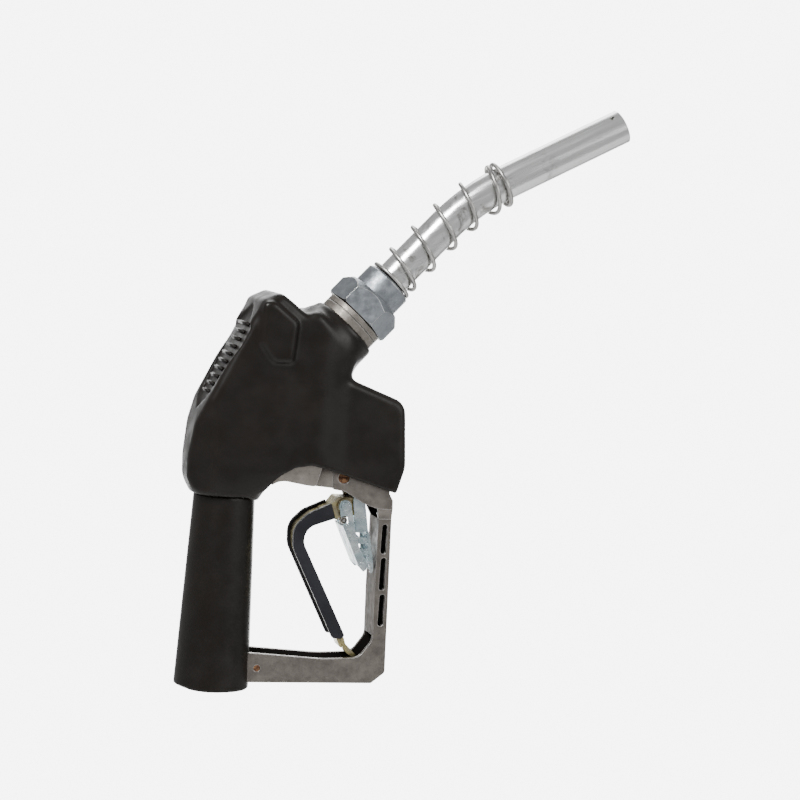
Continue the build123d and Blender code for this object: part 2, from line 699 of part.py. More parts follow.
RACK_SIDE = [
    (75.3, 122.8, 0), (82.9, 122.8, 0), (82.6, 110.9, 3), (83.5, 106.4, 3), (85.5, 95.1, 2),
    (87, 91.5, 4), (90, 76.6, 3), (90.5, 71.1, 1), (89.3, 69, 1), (88.2, 70.8, 0.5),
    (88.2, 73.5, 0), (84.6, 78.6, 0), (81.6, 82.5, 0), (79.4, 88.5, 2), (77.4, 98.4, 1.5), (75.3, 111, 0),
]
RACK_WEB = [
    (84.4, 94.9, 0), (85.5, 95.1, 0), (87, 91.5, 4), (90, 76.6, 3), (90.5, 71.1, 0),
    (89.4, 71, 0), (88.9, 76.4, 3), (85.9, 91.2, 4),
]
RACK_FEET = [(73.5, 121.5, 0), (84.5, 121.5, 0), (84.5, 122.8, 0), (73.5, 122.8, 0)]
NOTCH = [(76, 93.8, 0), (82, 93.6, 0), (84.8, 94.6, 0), (85.2, 88.4, 0), (82, 91.0, 0), (76, 90.8, 0)]
NOTCH_STEP = (0.95, -6.6)
RACK_SCREW_X = (76.0, 82.0)
RACK_SCREW_Y = 11.0


def rack():
    inner = RACK_HALF - RACK_PLATE
    side = outline(RACK_SIDE)
    for count in range(3):
        side -= Pos(count * NOTCH_STEP[0], count * NOTCH_STEP[1]) * outline(NOTCH)
    part = both_sides(plate(side, inner, RACK_HALF))
    part += slab(RACK_WEB, RACK_HALF - RACK_PLATE / 2)
    part += both_sides(plate(outline(RACK_FEET), inner, 12.8))
    return part - rack_screw_shanks(1.25)


def rack_screw_shanks(radius, low_z=115.0, high_z=130.0):
    shanks = []
    for x in RACK_SCREW_X:
        for y in (-RACK_SCREW_Y, RACK_SCREW_Y):
            shanks.append(rod(radius, low_z, high_z, Vector(x, y, 0)))
    return shanks[0] + shanks[1] + shanks[2] + shanks[3]


def rack_screws():
    return rack_screw_shanks(1.2, 121, 129.5) + rack_screw_shanks(1.9, 120, 121.45)


PIECES = {
    "body_casting": body_casting, "body_cover": body_cover, "handle_grip": handle_grip,
    "lever_guard": lever_guard, "guard_screws": guard_screws, "guard_foot_pin": guard_foot_pin,
    "spout_nut": spout_nut, "spout_adapter": spout_adapter, "neck_o_ring": neck_o_ring,
    "spout_tube": spout_tube, "vent_tube": vent_tube, "spout_spring": spout_spring,
    "packing_nut": packing_nut, "stem_packing": stem_packing, "valve_seat": valve_seat,
    "valve_stem": valve_stem, "poppet_disc": poppet_disc, "main_poppet": main_poppet,
    "poppet_spring": poppet_spring, "spring_retainer": spring_retainer,
    "check_seat": check_seat, "check_poppet": check_poppet, "check_spring": check_spring,
    "plunger": plunger, "plunger_bushing": plunger_bushing, "plunger_spring": plunger_spring,
    "latch_ring": latch_ring, "latch_balls": latch_balls, "latch_pin": latch_pin,
    "diaphragm": diaphragm, "diaphragm_spring": diaphragm_spring, "diaphragm_cap": diaphragm_cap,
    "lever": lever, "lever_sleeve": lever_sleeve, "lever_pivot_pin": lever_pivot_pin,
    "hold_open_clip": hold_open_clip, "clip_rivet": clip_rivet, "clip_washers": clip_washers,
    "clip_catch_pin": clip_catch_pin, "clip_spring_pin": clip_spring_pin,
    "clip_spring": clip_spring, "rack": rack, "rack_screws": rack_screws,
}


def main():
    os.makedirs("parts", exist_ok=True)
    for name, piece in PIECES.items():
        solid = piece()
        solid.label = name
        export_step(solid, f"parts/{name}.step")
        print(name, round(solid.volume, 1), len(solid.solids()))


if __name__ == "__main__":
    main()
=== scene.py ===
import json
import math

import bmesh
import bpy
import numpy as np
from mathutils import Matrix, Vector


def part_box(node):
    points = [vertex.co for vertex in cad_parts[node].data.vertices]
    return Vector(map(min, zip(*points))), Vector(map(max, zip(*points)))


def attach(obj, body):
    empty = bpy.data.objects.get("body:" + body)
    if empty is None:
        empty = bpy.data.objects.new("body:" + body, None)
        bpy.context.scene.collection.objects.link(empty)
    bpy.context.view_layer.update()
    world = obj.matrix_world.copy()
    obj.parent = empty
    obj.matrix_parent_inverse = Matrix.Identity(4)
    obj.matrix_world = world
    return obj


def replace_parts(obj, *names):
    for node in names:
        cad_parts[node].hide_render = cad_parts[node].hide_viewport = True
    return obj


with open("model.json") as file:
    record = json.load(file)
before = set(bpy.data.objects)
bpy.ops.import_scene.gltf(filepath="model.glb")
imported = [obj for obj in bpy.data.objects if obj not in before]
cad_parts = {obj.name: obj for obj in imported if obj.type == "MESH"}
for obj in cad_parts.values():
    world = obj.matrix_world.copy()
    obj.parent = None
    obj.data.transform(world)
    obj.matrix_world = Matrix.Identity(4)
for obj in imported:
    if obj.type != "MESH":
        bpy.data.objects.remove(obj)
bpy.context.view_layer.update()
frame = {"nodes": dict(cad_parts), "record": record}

import openvdb
from mathutils import Matrix, Vector

# Every CAD node keeps its shape and gets a procedural material. The two vinyl skins and the anchor
# spring are modelled again here, finer than in the CAD, and stand in for their nodes.

NODES = frame["nodes"]
BODY = "nozzle"


# ---------------------------------------------------------------- materials

# Places of the Mix node's colour sockets, whose names repeat.
COLOUR_A, COLOUR_B, COLOUR_RESULT = 6, 7, 2
EDGE_SHARP, EDGE_FLAT = 0.93, 0.995
SHADE_SAMPLES = 4
METALNESS = 0.92
USUAL_SPECULAR = 0.5


def srgb(*values):
    """A colour given as it looks on a screen, 0 to 255, as the renderer's linear colour."""
    linear = [(v / 255 / 12.92) if v <= 10 else ((v / 255 + 0.055) / 1.055) ** 2.4 for v in values]
    return (*linear, 1.0)


class Look:
    """A procedural material. Its patterns are laid out in the part's own frame, in metres."""

    def __init__(self, name, **settings):
        self.material = bpy.data.materials.new(name)
        self.material.use_nodes = True
        tree = self.material.node_tree
        self.nodes, self.links = tree.nodes, tree.links
        self.shader = self.nodes["Principled BSDF"]
        self.place = self.nodes.new("ShaderNodeTexCoord").outputs["Object"]
        for socket, value in settings.items():
            self.set(socket.replace("_", " "), value)

    def set(self, socket, value):
        """Gives one of the shader's sockets a number, a colour or a pattern."""
        self._feed(self.shader.inputs[socket], value)

    def _feed(self, target, value):
        if isinstance(value, bpy.types.NodeSocket):
            self.links.new(value, target)
        else:
            target.default_value = value

    def turned(self, angle_y, stretch):
        """The part's frame turned about Y, then stretched along its own axes."""
        turn = self.nodes.new("ShaderNodeMapping")
        turn.inputs["Rotation"].default_value = (0, angle_y, 0)
        self.links.new(self.place, turn.inputs["Vector"])
        scale = self.nodes.new("ShaderNodeMapping")
        scale.inputs["Scale"].default_value = stretch
        self.links.new(turn.outputs["Vector"], scale.inputs["Vector"])
        return scale.outputs["Vector"]

    def noise(self, size, detail=3.0, rough=0.55, place=None, twist=0.0):
        """Cloudy noise whose features are about size metres across."""
        node = self.nodes.new("ShaderNodeTexNoise")
        node.inputs["Scale"].default_value = 1 / size
        node.inputs["Detail"].default_value = detail
        node.inputs["Roughness"].default_value = rough
        node.inputs["Distortion"].default_value = twist
        self.links.new(place or self.place, node.inputs["Vector"])
        return node.outputs["Fac"]

    def spread(self, value, low, high, to_low=0.0, to_high=1.0):
        """value's range from low to high, stretched to run from to_low to to_high."""
        node = self.nodes.new("ShaderNodeMapRange")
        node.interpolation_type = "SMOOTHSTEP"
        node.inputs["From Min"].default_value = low
        node.inputs["From Max"].default_value = high
        node.inputs["To Min"].default_value = to_low
        node.inputs["To Max"].default_value = to_high
        self.links.new(value, node.inputs["Value"])
        return node.outputs["Result"]

    def along(self, direction):
        """Distance from the frame's origin along a direction."""
        node = self.nodes.new("ShaderNodeVectorMath")
        node.operation = "DOT_PRODUCT"
        self.links.new(self.place, node.inputs[0])
        node.inputs[1].default_value = direction
        return node.outputs["Value"]

    def within(self, direction, low, high):
        """1 where the distance along a direction lies between low and high."""
        distance = self.along(direction)
        above = self.math("GREATER_THAN", distance, low)
        return self.math("MULTIPLY", above, self.math("LESS_THAN", distance, high))

    def math(self, kind, a, b):
        """Arithmetic on two patterns or numbers."""
        node = self.nodes.new("ShaderNodeMath")
        node.operation = kind
        self._feed(node.inputs[0], a)
        self._feed(node.inputs[1], b)
        return node.outputs[0]

    def mix(self, factor, a, b):
        """Colour a where factor is 0, colour b where it is 1."""
        node = self.nodes.new("ShaderNodeMix")
        node.data_type = "RGBA"
        self._feed(node.inputs["Factor"], factor)
        self._feed(node.inputs[COLOUR_A], a)
        self._feed(node.inputs[COLOUR_B], b)
        return node.outputs[COLOUR_RESULT]

    def corners(self, reach):
        """1 in open surfaces, falling to 0 deep in corners closer than reach."""
        node = self.nodes.new("ShaderNodeAmbientOcclusion")
        node.samples = SHADE_SAMPLES
        node.inputs["Distance"].default_value = reach
        return node.outputs["AO"]

    def rounded(self, radius):
        """Softens the shading of edges as if they had this radius."""
        node = self.nodes.new("ShaderNodeBevel")
        node.samples = SHADE_SAMPLES
        node.inputs["Radius"].default_value = radius
        return node.outputs["Normal"]

    def edges(self, radius):
        """1 along edges sharper than radius, 0 on open faces."""
        node = self.nodes.new("ShaderNodeVectorMath")
        node.operation = "DOT_PRODUCT"
        self.links.new(self.rounded(radius), node.inputs[0])
        self.links.new(self.nodes.new("ShaderNodeNewGeometry").outputs["Normal"], node.inputs[1])
        return self.spread(node.outputs["Value"], EDGE_SHARP, EDGE_FLAT, 1.0, 0.0)

    def bump(self, height, depth, under=None):
        """Relief from height, where 1 stands depth metres above 0."""
        node = self.nodes.new("ShaderNodeBump")
        node.inputs["Strength"].default_value = 1.0
        node.inputs["Distance"].default_value = depth
        self.links.new(height, node.inputs["Height"])
        if under is not None:
            self.links.new(under, node.inputs["Normal"])
        return node.outputs["Normal"]


def vinyl(name, colour, worn, waviness):
    """Soft moulded vinyl: faintly cloudy colour, uneven gloss, a slow waviness and a fine grain."""
    look = Look(name, Specular_IOR_Level=0.25)
    clouds = look.noise(0.03, 4)
    look.set("Base Color", look.mix(look.spread(clouds, 0.35, 0.7), colour, worn))
    look.set("Roughness", look.spread(look.noise(0.012, 4), 0.3, 0.7, 0.3, 0.46))
    slow = look.bump(look.noise(0.022, 2), waviness, look.rounded(0.0006))
    look.set("Normal", look.bump(look.noise(0.0008, 2), 0.00001, slow))
    return look.material


def guard_channel(look):
    """1 on the walls of the channel inside the lever guard, which are painted black as shade."""
    channel_half = 0.0076
    bottom, foot_top, head = 0.0055, 0.0295, 0.106
    rail_back, rail_front = 0.094, 0.0993
    across = look.within((0, 1, 0), -channel_half, channel_half)
    channel = look.math("MULTIPLY", across, look.within((0, 0, 1), bottom, head))
    rail = look.within((1, 0, 0), rail_back, rail_front)
    low = look.within((0, 0, 1), bottom, foot_top)
    foot = look.math("MULTIPLY", low, look.within((1, 0, 0), 0.0, rail_front))
    return look.math("MULTIPLY", channel, look.math("MAXIMUM", rail, foot))


def cast_metal(name, light, dark, grime_and_shade, rough, grain, shaded_walls=None):
    """Sand-cast metal: mottled and specked, darker in its corners with dirt and painted shade,
    and light on its edges with wear and a painted edge highlight.

    hollow, if given, marks the walls painted black as shade.
    """
    look = Look(name, Metallic=METALNESS)
    mottled = look.mix(look.spread(look.noise(0.009, 7, 0.7), 0.3, 0.7), dark, light)
    specks = look.spread(look.noise(0.0011, 3), 0.62, 0.74)
    speckled = look.mix(look.math("MULTIPLY", specks, 0.3), mottled, grime_and_shade)
    # Painted shade with some dirt: the dark tone is laid into corners where ambient occlusion is low.
    corner = look.spread(look.corners(0.008), 0.3, 0.8)
    # Painted edge highlight with some wear: a light colour is laid along sharp edges.
    worn = look.math("MULTIPLY", look.edges(0.0006), 0.75)
    colour = look.mix(worn, look.mix(corner, grime_and_shade, speckled), srgb(208, 206, 203))
    roughness = look.spread(look.noise(0.004, 5), 0.3, 0.7, rough - 0.09, rough + 0.1)
    if shaded_walls:
        wall_shade = shaded_walls(look)
        # Painted shade: these walls get a near-black colour and are made duller and less metallic.
        colour = look.mix(wall_shade, colour, srgb(30, 27, 25))
        roughness = look.math("MAXIMUM", roughness, wall_shade)
        look.set("Metallic", look.math("SUBTRACT", METALNESS, wall_shade))
        duller = look.math("MULTIPLY", wall_shade, 0.45)
        look.set("Specular IOR Level", look.math("SUBTRACT", USUAL_SPECULAR, duller))
    look.set("Base Color", colour)
    look.set("Roughness", roughness)
    soft = look.bump(look.noise(0.006, 3), grain * 4, look.rounded(0.0006))
    look.set("Normal", look.bump(look.noise(0.0007, 3), grain, soft))
    return look.material


def spout_metal():
    """Drawn aluminium: fine lines along the tube, smears of dirt near the coils and a few specks."""
    look = Look("spout_aluminium_look", Metallic=1.0)
    smear = look.spread(look.noise(0.011, 6, 0.65, twist=0.8), 0.5, 0.68)
    near_coils = look.spread(look.along((0.66, 0.0, 0.75)), 0.33, 0.37, 0.8, 0.06)
    specks = look.math("MULTIPLY", look.spread(look.noise(0.0016, 2), 0.73, 0.76), 0.7)
    dirt = look.math("MAXIMUM", look.math("MULTIPLY", smear, near_coils), specks)
    look.set("Base Color", look.mix(dirt, srgb(226, 227, 226), srgb(104, 99, 94)))
    drawn = look.noise(0.03, 3, 0.5, look.turned(math.radians(29), (0.6, 24, 24)))
    look.set("Roughness", look.spread(drawn, 0.3, 0.7, 0.18, 0.28))
    look.set("Normal", look.bump(drawn, 0.00001))
    return look.material


def plated(name, colour, second, third_tone_and_shade, rough, edge=0.00035):
    """Plated steel: three tones in cloudy patches, the darkest one also laid into corners as painted shade.
    """
    look = Look(name, Metallic=1.0)
    broad = look.mix(look.spread(look.noise(0.012, 4, 0.6, twist=0.8), 0.38, 0.62), colour, second)
    fine = look.spread(look.noise(0.003, 5, 0.7), 0.55, 0.75)
    tinted = look.mix(look.math("MULTIPLY", fine, 0.6), broad, third_tone_and_shade)
    # Painted shade: the darkest tone fills corners where ambient occlusion is low.
    corner = look.spread(look.corners(0.0025), 0.3, 0.85)
    look.set("Base Color", look.mix(corner, third_tone_and_shade, tinted))
    look.set("Roughness", look.spread(look.noise(0.005, 4), 0.3, 0.7, rough - 0.07, rough + 0.1))
    under = look.rounded(edge) if edge else None
    look.set("Normal", look.bump(look.noise(0.0012, 3), 0.000012, under))
    return look.material


def rusted():
    """Steel under patches of dark and orange rust."""
    look = Look("rusted_steel_look", Metallic=0.25)
    patches = look.spread(look.noise(0.0022, 6, 0.7), 0.4, 0.6)
    look.set("Base Color", look.mix(patches, srgb(74, 44, 24), srgb(134, 96, 62)))
    look.set("Roughness", look.spread(patches, 0.0, 1.0, 0.8, 0.55))
    look.set("Normal", look.bump(look.noise(0.0006, 4), 0.0001, look.rounded(0.0004)))
    return look.material


def rubber():
    """Dull black rubber for the seals."""
    look = Look("black_rubber_look")
    clouds = look.noise(0.004, 4)
    look.set("Base Color", look.mix(clouds, srgb(20, 20, 21), srgb(34, 33, 33)))
    look.set("Roughness", look.spread(clouds, 0.3, 0.7, 0.6, 0.75))
    look.set("Normal", look.bump(look.noise(0.0008, 3), 0.00003))
    return look.material


LOOKS = {
    "vinyl": vinyl("vinyl_look", srgb(18, 14, 11), srgb(23, 19, 16), 0.00008),
    "lever_vinyl": vinyl("lever_vinyl_look", srgb(27, 27, 31), srgb(36, 36, 41), 0.0001),
    "cast_body": cast_metal(
        "cast_body_look", srgb(138, 133, 126), srgb(118, 112, 106), srgb(62, 55, 49), 0.48, 0.00005
    ),
    "cast_guard": cast_metal(
        "cast_guard_look", srgb(128, 122, 116), srgb(106, 101, 96), srgb(60, 54, 49), 0.4, 0.00005,
        shaded_walls=guard_channel,
    ),
    "nut_casting": cast_metal(
        "nut_casting_look", srgb(146, 151, 156), srgb(124, 129, 134), srgb(80, 82, 84), 0.4, 0.00005
    ),
    "spout_aluminium": spout_metal(),
    "spring_steel": plated(
        "spring_steel_look", srgb(184, 183, 181), srgb(160, 158, 156), srgb(126, 122, 118), 0.36, edge=0
    ),
    "yellow_zinc": plated(
        "yellow_zinc_look", srgb(196, 184, 132), srgb(172, 164, 140), srgb(120, 104, 62), 0.3
    ),
    # Its dark teal tone, laid into its corners, is painted shade.
    "clear_zinc": plated(
        "clear_zinc_look", srgb(218, 227, 229), srgb(184, 202, 208), srgb(86, 118, 122), 0.26
    ),
    "stainless": plated(
        "stainless_look", srgb(196, 194, 190), srgb(170, 168, 165), srgb(120, 117, 112), 0.24
    ),
    "brass": plated("brass_look", srgb(206, 170, 104), srgb(186, 148, 82), srgb(120, 90, 48), 0.3),
    "cap_aluminium": plated(
        "cap_aluminium_look", srgb(178, 178, 178), srgb(156, 156, 157), srgb(104, 103, 102), 0.36
    ),
    "rusted_steel": rusted(),
    "black_rubber": rubber(),
}


def dress(piece, slot):
    """Gives a piece the material of one of the record's slots."""
    piece.data.materials.clear()
    piece.data.materials.append(LOOKS[slot])


def dress_cad_nodes():
    """Gives every CAD node the material of its own slot in the record."""
    slots = {s["node"]: s["material_slot"] for s in frame["record"]["subparts"]}
    for name, piece in NODES.items():
        dress(piece, slots[name])


dress_cad_nodes()


# ---------------------------------------------------------------- soft vinyl
# The vinyl is modelled as a field of distances to its surface, in millimetres, on an even grid. X, Y and Z
# are the row frame's. A half is half a width across Y, and each SCALE turns a gap measured square to the
# axes into a distance from a slanted surface.

CELL = 1.0
MM = 1000
X = np.arange(-30, 110, CELL)[:, None, None]
Y = np.arange(-31, 32, CELL)[None, :, None]
Z = np.arange(-5, 240, CELL)[None, None, :]
FIELD_REACH = 4

WALL = 2.4
SEAM = 0.1
GRIP_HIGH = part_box("handle_grip")[1]
GRIP_TOP = round(MM * GRIP_HIGH.z, 1)
HANDLE_R = round(MM * GRIP_HIGH.x, 1)
HANDLE_TAPER = 0.0363
NECK_BASE = (65.7, 214.7)
NECK_SLOPE = math.radians(48.5)
BOSS_R = 20.9
NECK_HOLE_R = 18.95

BODY_OUTLINE = [
    (-16.5, 111), (-21, 115.5), (-24.3, 122), (-24.7, 134), (-22.6, 154), (-18, 167), (5.5, 217),
    (11.5, 227), (20.5, 232), (29, 226), (36.5, 220), (44, 223), (66, 200), (66, 184.4), (97.3, 173),
    (100.6, 168.5), (103.4, 134), (98.6, 116.6), (62, 117.4), (43, 118.9), (27, 121.5), (18.2, 105),
]
LUMP_OUTLINE = [(10, 226), (16, 227), (31, 215.5), (29.5, 192), (18, 192), (9.5, 203.5)]
LOWER_EDGE = [
    (18.6, 80), (18.8, 111), (20.4, 117.5), (23.4, 122.5), (28, 127), (36, 132), (45.8, 133.8), (60, 130.1),
    (112, 114.7), (112, 80),
]
PLATE_HALVES = [(100, 8), (120, 8.5), (138, 11), (157, 12.3), (181, 20), (201, 26), (240, 26)]

BODY_EDGE_R = 4.5
BACK_X = -26
FLANK_SPREAD = 0.8
FLANK_SCALE = 0.78
CUFF_R = 18.8
CUFF_Z = 111
CUFF_END_X = 22
CUFF_SPREAD = 1.2
CUFF_SCALE = 0.64
PANEL_DEPTH = 1.7
PANEL_MARGIN = 3.6
PANEL_MIDDLE_Z = 193
PANEL_HALF_HEIGHT = 31
LUMP_HALF = 26.9

# The bars on the back plate, in metres.
RIBS = 10
RIBS_LOW = Vector((-0.0144, 0, 0.172))
RIBS_HIGH = Vector((0.0044, 0, 0.212))
RIB_NARROWEST = 0.014
RIB_WIDENING = 0.013
RIB_HEIGHT = 0.0022
RIB_THICKNESS = 0.003


def blurred(field, width):
    """The field averaged over a soft spot of this width."""
    steps = np.arange(-math.ceil(3 * width / CELL), math.ceil(3 * width / CELL) + 1)
    weights = np.exp(-0.5 * (steps * CELL / width) ** 2)
    weights /= weights.sum()
    reach = len(steps) // 2
    for axis in range(field.ndim):
        field = np.apply_along_axis(
            lambda line: np.convolve(np.pad(line, reach, "edge"), weights, "valid"), axis, field
        )
    return field


def outline(points, soften):
    """Distance to a closed outline seen from the side, negative inside, its corners softened."""
    x, z = X[:, 0, :], Z[0]
    distance = np.full((x.shape[0], z.shape[1]), 1e6)
    inside = np.zeros(distance.shape, bool)
    for (x0, z0), (x1, z1) in zip(points, points[1:] + points[:1]):
        dx, dz = x1 - x0, z1 - z0
        share = np.clip(((x - x0) * dx + (z - z0) * dz) / (dx * dx + dz * dz), 0, 1)
        distance = np.minimum(distance, np.hypot(x - x0 - share * dx, z - z0 - share * dz))
        if dz:
            level = (z >= min(z0, z1)) & (z < max(z0, z1))
            inside ^= level & (x < x0 + (z - z0) * dx / dz)
    distance = np.where(inside, -distance, distance)
    return (blurred(distance, soften) if soften else distance)[:, None, :]


def rounded_meet(a, b, edge):
    """What lies inside both, the edge where they meet rounded to this radius."""
    a, b = a + edge, b + edge
    return np.minimum(np.maximum(a, b), 0) + np.hypot(np.maximum(a, 0), np.maximum(b, 0)) - edge


def blended(a, b, blend):
    """What lies inside either, with a fillet about blend across where they meet."""
    near = np.maximum(blend - np.abs(a - b), 0) / blend
    return np.minimum(a, b) - near * near * blend / 4


def carved(a, tool, blend):
    """What lies inside a but not inside the tool, with a fillet where they meet."""
    return -blended(-a, tool, blend)


def ramp(value, low, high):
    """0 below low, 1 above high, and a smooth rise between."""
    share = np.clip((value - low) / (high - low), 0, 1)
    return share * share * (3 - 2 * share)


def neck_drum(radius, low, high, edge):
    """A round drum on the neck's line, from low to high along it."""
    x, z = X - NECK_BASE[0], Z - NECK_BASE[1]
    along = x * math.cos(NECK_SLOPE) + z * math.sin(NECK_SLOPE)
    across = np.hypot(Y, x * math.sin(NECK_SLOPE) - z * math.cos(NECK_SLOPE))
    return rounded_meet(across - radius, np.maximum(along - high, low - along), edge)


def handle_cone(inset):
    """The handle's slightly tapered side, moved in by inset."""
    return np.hypot(X, Y) - (HANDLE_R - HANDLE_TAPER * Z) + inset


def plate_half():
    """Half the width of the back plate at each height."""
    heights, halves = zip(*PLATE_HALVES)
    return blurred(np.interp(Z[0, 0], heights, halves), 5.0)[None, None, :]


def body_half():
    """Half the body's thickness: full behind, slimmer in front, tucked in under the low crease."""
    slim, extra, tuck = 19.0, 4.9, 1.6
    full = slim + extra * ramp(-X, -68, -46)
    below_crease = (-21 * (X + 17) - 57 * (Z - 156)) / 60.7
    tucked = full - tuck * ramp(below_crease, 0, 24) * ramp(-X, -60, -20)
    above_grip = np.interp(Z, (111, 128, 136), (18.6, 23.2, 24.4))
    return blended(tucked, above_grip, 2.0)


def flank():
    """The sides, which lean in to the back plate's width behind."""
    return (np.abs(Y) - plate_half() - FLANK_SPREAD * (X - BACK_X)) * FLANK_SCALE


def cuff():
    """The round shape that the body narrows to just above the handle."""
    widening = CUFF_SPREAD * np.maximum(Z - CUFF_Z, 0) + 4 * np.maximum(X - CUFF_END_X, 0)
    return (np.hypot(X, Y) - CUFF_R - widening) * CUFF_SCALE


def back_panel(side_view):
    """The shallow recess in the back plate, with ends that slant toward its middle."""
    panel = rounded_meet(-PANEL_DEPTH - side_view, np.abs(Y) - plate_half() + PANEL_MARGIN, 0.3)
    ends = np.abs(Z - PANEL_MIDDLE_Z) - PANEL_HALF_HEIGHT + 0.6 * np.abs(Y)
    return np.maximum(rounded_meet(panel, ends, 2.0), X - 12)


def body_field():
    """The body's outer form, with its handle's top, side panels and neck boss."""
    side_view = outline(BODY_OUTLINE, 1.9)
    body = rounded_meet(side_view, np.abs(Y) - body_half(), BODY_EDGE_R)
    body = rounded_meet(body, flank(), 2.0)
    body = rounded_meet(body, cuff(), 1.5)
    body = carved(body, back_panel(side_view), 1.2)
    lump = rounded_meet(outline(LUMP_OUTLINE, 1.5), np.abs(Y) - LUMP_HALF, 2.6)
    body = blended(body, lump, 3.0)
    body = blended(body, neck_drum(BOSS_R, -40, -1, 3.0), 8.0)
    return blended(body, rounded_meet(handle_cone(0), np.abs(Z - 115) - 18, 1.0), 7.0)


def cover_field():
    """The cover: a skin over the body's form, open below, at the neck and round the grip's top."""
    form = body_field()
    shell = np.maximum(form, -form - WALL)
    shell = carved(shell, outline(LOWER_EDGE, 0), 0.6)
    shell = carved(shell, neck_drum(NECK_HOLE_R, -9, 12, SEAM), 0.6)
    low_edge = GRIP_TOP + 0.05 - 2.2 * ramp(X, 8, 16)
    shell = rounded_meet(shell, low_edge - Z, 0.4)
    return carved(shell, rounded_meet(handle_cone(-SEAM), Z - GRIP_TOP - 0.03, SEAM), 0.3)


def grip_field():
    """The grip: a tapered sleeve whose foot is cut a little unevenly."""
    around = np.arctan2(Y, X)
    low = -0.15 + 0.4 * np.sin(3 * around + 0.6) * np.cos(around - 0.4)
    wall = rounded_meet(handle_cone(0.1 * np.cos(2 * around)), -handle_cone(WALL), 0.4)
    return rounded_meet(wall, np.maximum(Z - GRIP_TOP, low - Z), 0.4)


def shade_smooth(mesh):
    """Shades the mesh as a curved surface, without facets."""
    mesh.polygons.foreach_set("use_smooth", [True] * len(mesh.polygons))


def new_piece(name, mesh, slot):
    """An object for the mesh, riding on the nozzle's body and dressed from the record's slot."""
    piece = bpy.data.objects.new(name, mesh)
    bpy.context.scene.collection.objects.link(piece)
    dress(piece, slot)
    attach(piece, BODY)
    return piece


def skin(name, field):
    """A smooth mesh over the field's surface, in metres."""
    volume = openvdb.FloatGrid()
    volume.copyFromArray(np.clip(field, -FIELD_REACH, FIELD_REACH).astype(np.float32))
    points, quads = volume.convertToQuads(isovalue=0.0)
    corner = np.array([X.min(), Y.min(), Z.min()])
    mesh = bpy.data.meshes.new(name)
    mesh.from_pydata(((points * CELL + corner) / MM).tolist(), [], quads[:, ::-1].tolist())
    shade_smooth(mesh)
    return mesh


def make_vinyl():
    """The body cover and the handle grip, each in place of its CAD solid."""
    cover = new_piece("soft_body_cover", skin("soft_body_cover", cover_field()), "vinyl")
    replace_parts(cover, "body_cover")
    grip = new_piece("soft_handle_grip", skin("soft_handle_grip", grip_field()), "vinyl")
    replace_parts(grip, "handle_grip")


def make_ribs():
    """Plain low bars across the back plate's panel."""
    rise = RIBS_HIGH - RIBS_LOW
    lean = Matrix.Rotation(math.atan2(rise.x, rise.z), 4, "Y")
    bars = bmesh.new()
    for step in range(RIBS):
        share = step / (RIBS - 1)
        place = Matrix.Translation(RIBS_LOW.lerp(RIBS_HIGH, share))
        width = RIB_NARROWEST + RIB_WIDENING * share
        size = Matrix.Diagonal((RIB_THICKNESS, width, RIB_HEIGHT, 1))
        bmesh.ops.create_cube(bars, size=1.0, matrix=place @ lean @ size)
    bmesh.ops.bevel(bars, geom=bars.edges[:], offset=0.0007, segments=3, affect="EDGES")
    mesh = bpy.data.meshes.new("plate_ribs")
    bars.to_mesh(mesh)
    bars.free()
    shade_smooth(mesh)
    new_piece("plate_ribs", mesh, "vinyl")


make_vinyl()
make_ribs()


# ---------------------------------------------------------------- anchor spring
# In metres. The spout runs straight from the neck, bends flatter and runs straight again. Each run of the
# coil is its pitch along the spout and its number of turns.

BEND_START = 0.0811
BEND_RADIUS = 0.140
SPOUT_SLOPE = math.radians(29.1)
WIRE_R = 0.0012
COIL_R = 0.013
COIL_START = 0.0365
COIL_RUNS = [(0.0012, 0.5), (0.0100, 0.5), (0.0144, 0.5), (0.0182, 4.0), (0.0030, 1.5)]
COIL_STEPS = 48


def spout_point(travel):
    """The spout's centre line at a distance from the vinyl boss, and its slope there."""
    bend_length = BEND_RADIUS * (NECK_SLOPE - SPOUT_SLOPE)
    straight = min(travel, BEND_START)
    bent = min(max(travel - BEND_START, 0), bend_length)
    last = max(travel - BEND_START - bend_length, 0)
    slope = NECK_SLOPE - bent / BEND_RADIUS
    x = NECK_BASE[0] / MM + straight * math.cos(NECK_SLOPE) + last * math.cos(SPOUT_SLOPE)
    z = NECK_BASE[1] / MM + straight * math.sin(NECK_SLOPE) + last * math.sin(SPOUT_SLOPE)
    x += BEND_RADIUS * (math.sin(NECK_SLOPE) - math.sin(slope))
    z += BEND_RADIUS * (math.cos(slope) - math.cos(NECK_SLOPE))
    return Vector((x, 0, z)), slope


def coil_points():
    """Points along the wire's centre line, from the collar up the spout."""
    travel, angle = COIL_START, math.pi
    for pitch, turns in COIL_RUNS:
        for _ in range(int(turns * COIL_STEPS)):
            centre, slope = spout_point(travel)
            outward = Vector((-math.sin(slope), 0, math.cos(slope)))
            yield centre + (outward * math.cos(angle) + Vector((0, math.sin(angle), 0))) * COIL_R
            travel += pitch / COIL_STEPS
            angle += 2 * math.pi / COIL_STEPS


def make_spring():
    """Round wire wound along the bent spout, closed up at both ends."""
    points = list(coil_points())
    curve = bpy.data.curves.new("anchor_spring_line", "CURVE")
    curve.dimensions = "3D"
    curve.bevel_depth = WIRE_R
    curve.bevel_resolution = 5
    curve.use_fill_caps = True
    line = curve.splines.new("POLY")
    line.points.add(len(points) - 1)
    for spot, point in zip(line.points, points):
        spot.co = (*point, 1)
    holder = bpy.data.objects.new("anchor_spring_line", curve)
    bpy.context.scene.collection.objects.link(holder)
    mesh = bpy.data.meshes.new_from_object(holder.evaluated_get(bpy.context.evaluated_depsgraph_get()))
    bpy.data.objects.remove(holder)
    shade_smooth(mesh)
    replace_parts(new_piece("anchor_spring", mesh, "spring_steel"), "spout_spring")


make_spring()


# ---------------------------------------------------------------- studio
# The backdrop is a bright patch of the world, on the object's far side from the photograph's viewpoint.

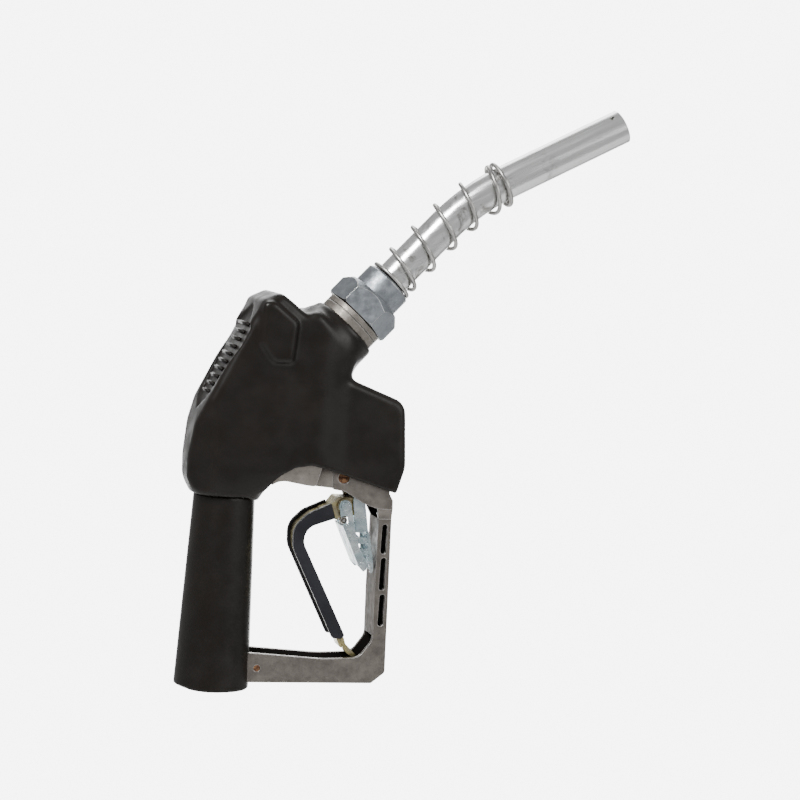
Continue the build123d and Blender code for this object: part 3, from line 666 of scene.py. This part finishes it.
PALE = srgb(252, 252, 252)
FLOOR_MIDDLE = (0.1, 0, -0.6)
FLOOR_R = 1.5
BACKDROP_DIRECTION = (0.2746, 0.9576, -0.0872)
BACKDROP_RIM, BACKDROP_FULL = 0.9, 0.955
WORLD_STRENGTH, BACKDROP_STRENGTH = 0.5, 7.0
LIT_SPOT = (0.1, 0, 0.2)
VIEW_TARGET = (0.10123, 0.0, 0.17224)
VIEW_DISTANCE = 1.25
VIEW_ANGLES = (-16.0, 5.0, 4.5)
VIEW_LENS = 95.3
VIEW_SENSOR = 36


def floor():
    """A plain pale disc well below the object."""
    bpy.ops.mesh.primitive_circle_add(vertices=96, radius=FLOOR_R, fill_type="NGON", location=FLOOR_MIDDLE)
    disc = bpy.context.object
    disc.name = "floor"
    look = Look("floor_look", Roughness=0.9)
    look.set("Base Color", look.mix(look.noise(0.4, 3), PALE, srgb(250, 250, 250)))
    disc.data.materials.append(look.material)


def studio_world():
    """Even soft light all round, with the bright white backdrop in one fixed direction."""
    world = bpy.data.worlds.new("studio")
    world.use_nodes = True
    bpy.context.scene.world = world
    nodes, links = world.node_tree.nodes, world.node_tree.links
    facing = nodes.new("ShaderNodeVectorMath")
    facing.operation = "DOT_PRODUCT"
    links.new(nodes.new("ShaderNodeTexCoord").outputs["Generated"], facing.inputs[0])
    facing.inputs[1].default_value = BACKDROP_DIRECTION
    strength = nodes.new("ShaderNodeMapRange")
    strength.interpolation_type = "SMOOTHSTEP"
    strength.inputs["From Min"].default_value = BACKDROP_RIM
    strength.inputs["From Max"].default_value = BACKDROP_FULL
    strength.inputs["To Min"].default_value = WORLD_STRENGTH
    strength.inputs["To Max"].default_value = BACKDROP_STRENGTH
    links.new(facing.outputs["Value"], strength.inputs["Value"])
    backdrop = nodes["Background"]
    backdrop.inputs["Color"].default_value = PALE
    links.new(strength.outputs["Result"], backdrop.inputs["Strength"])


def area_light(name, place, size, power):
    """A round soft light aimed at the object."""
    lamp = bpy.data.lights.new(name, "AREA")
    lamp.shape = "DISK"
    lamp.size = size
    lamp.energy = power
    holder = bpy.data.objects.new(name, lamp)
    bpy.context.scene.collection.objects.link(holder)
    holder.location = place
    holder.rotation_euler = (Vector(LIT_SPOT) - Vector(place)).to_track_quat("-Z", "Y").to_euler()


def photo_camera():
    """The photograph's viewpoint: a little to the handle's side, slightly above, and tilted."""
    azimuth, elevation, roll = (math.radians(angle) for angle in VIEW_ANGLES)
    level = Vector((math.sin(azimuth), -math.cos(azimuth), 0)) * math.cos(elevation)
    back = level + Vector((0, 0, math.sin(elevation)))
    right = (-back).cross(Vector((0, 0, 1))).normalized()
    up = back.cross(right)
    tilted_right = right * math.cos(roll) + up * math.sin(roll)
    tilted_up = up * math.cos(roll) - right * math.sin(roll)
    camera = bpy.data.objects.new("photo_camera", bpy.data.cameras.new("photo_camera"))
    bpy.context.scene.collection.objects.link(camera)
    camera.data.sensor_width = VIEW_SENSOR
    camera.data.lens = VIEW_LENS
    columns = Matrix((tilted_right, tilted_up, back)).transposed()
    camera.matrix_world = Matrix.Translation(Vector(VIEW_TARGET) + back * VIEW_DISTANCE) @ columns.to_4x4()
    bpy.context.scene.camera = camera


floor()
studio_world()
area_light("key", (-0.9, -0.9, 1.5), 0.8, 48)
area_light("fill", (1.3, -1.3, 0.8), 1.2, 16)
area_light("rim", (0.3, 1.2, 1.4), 1.0, 12)
photo_camera()
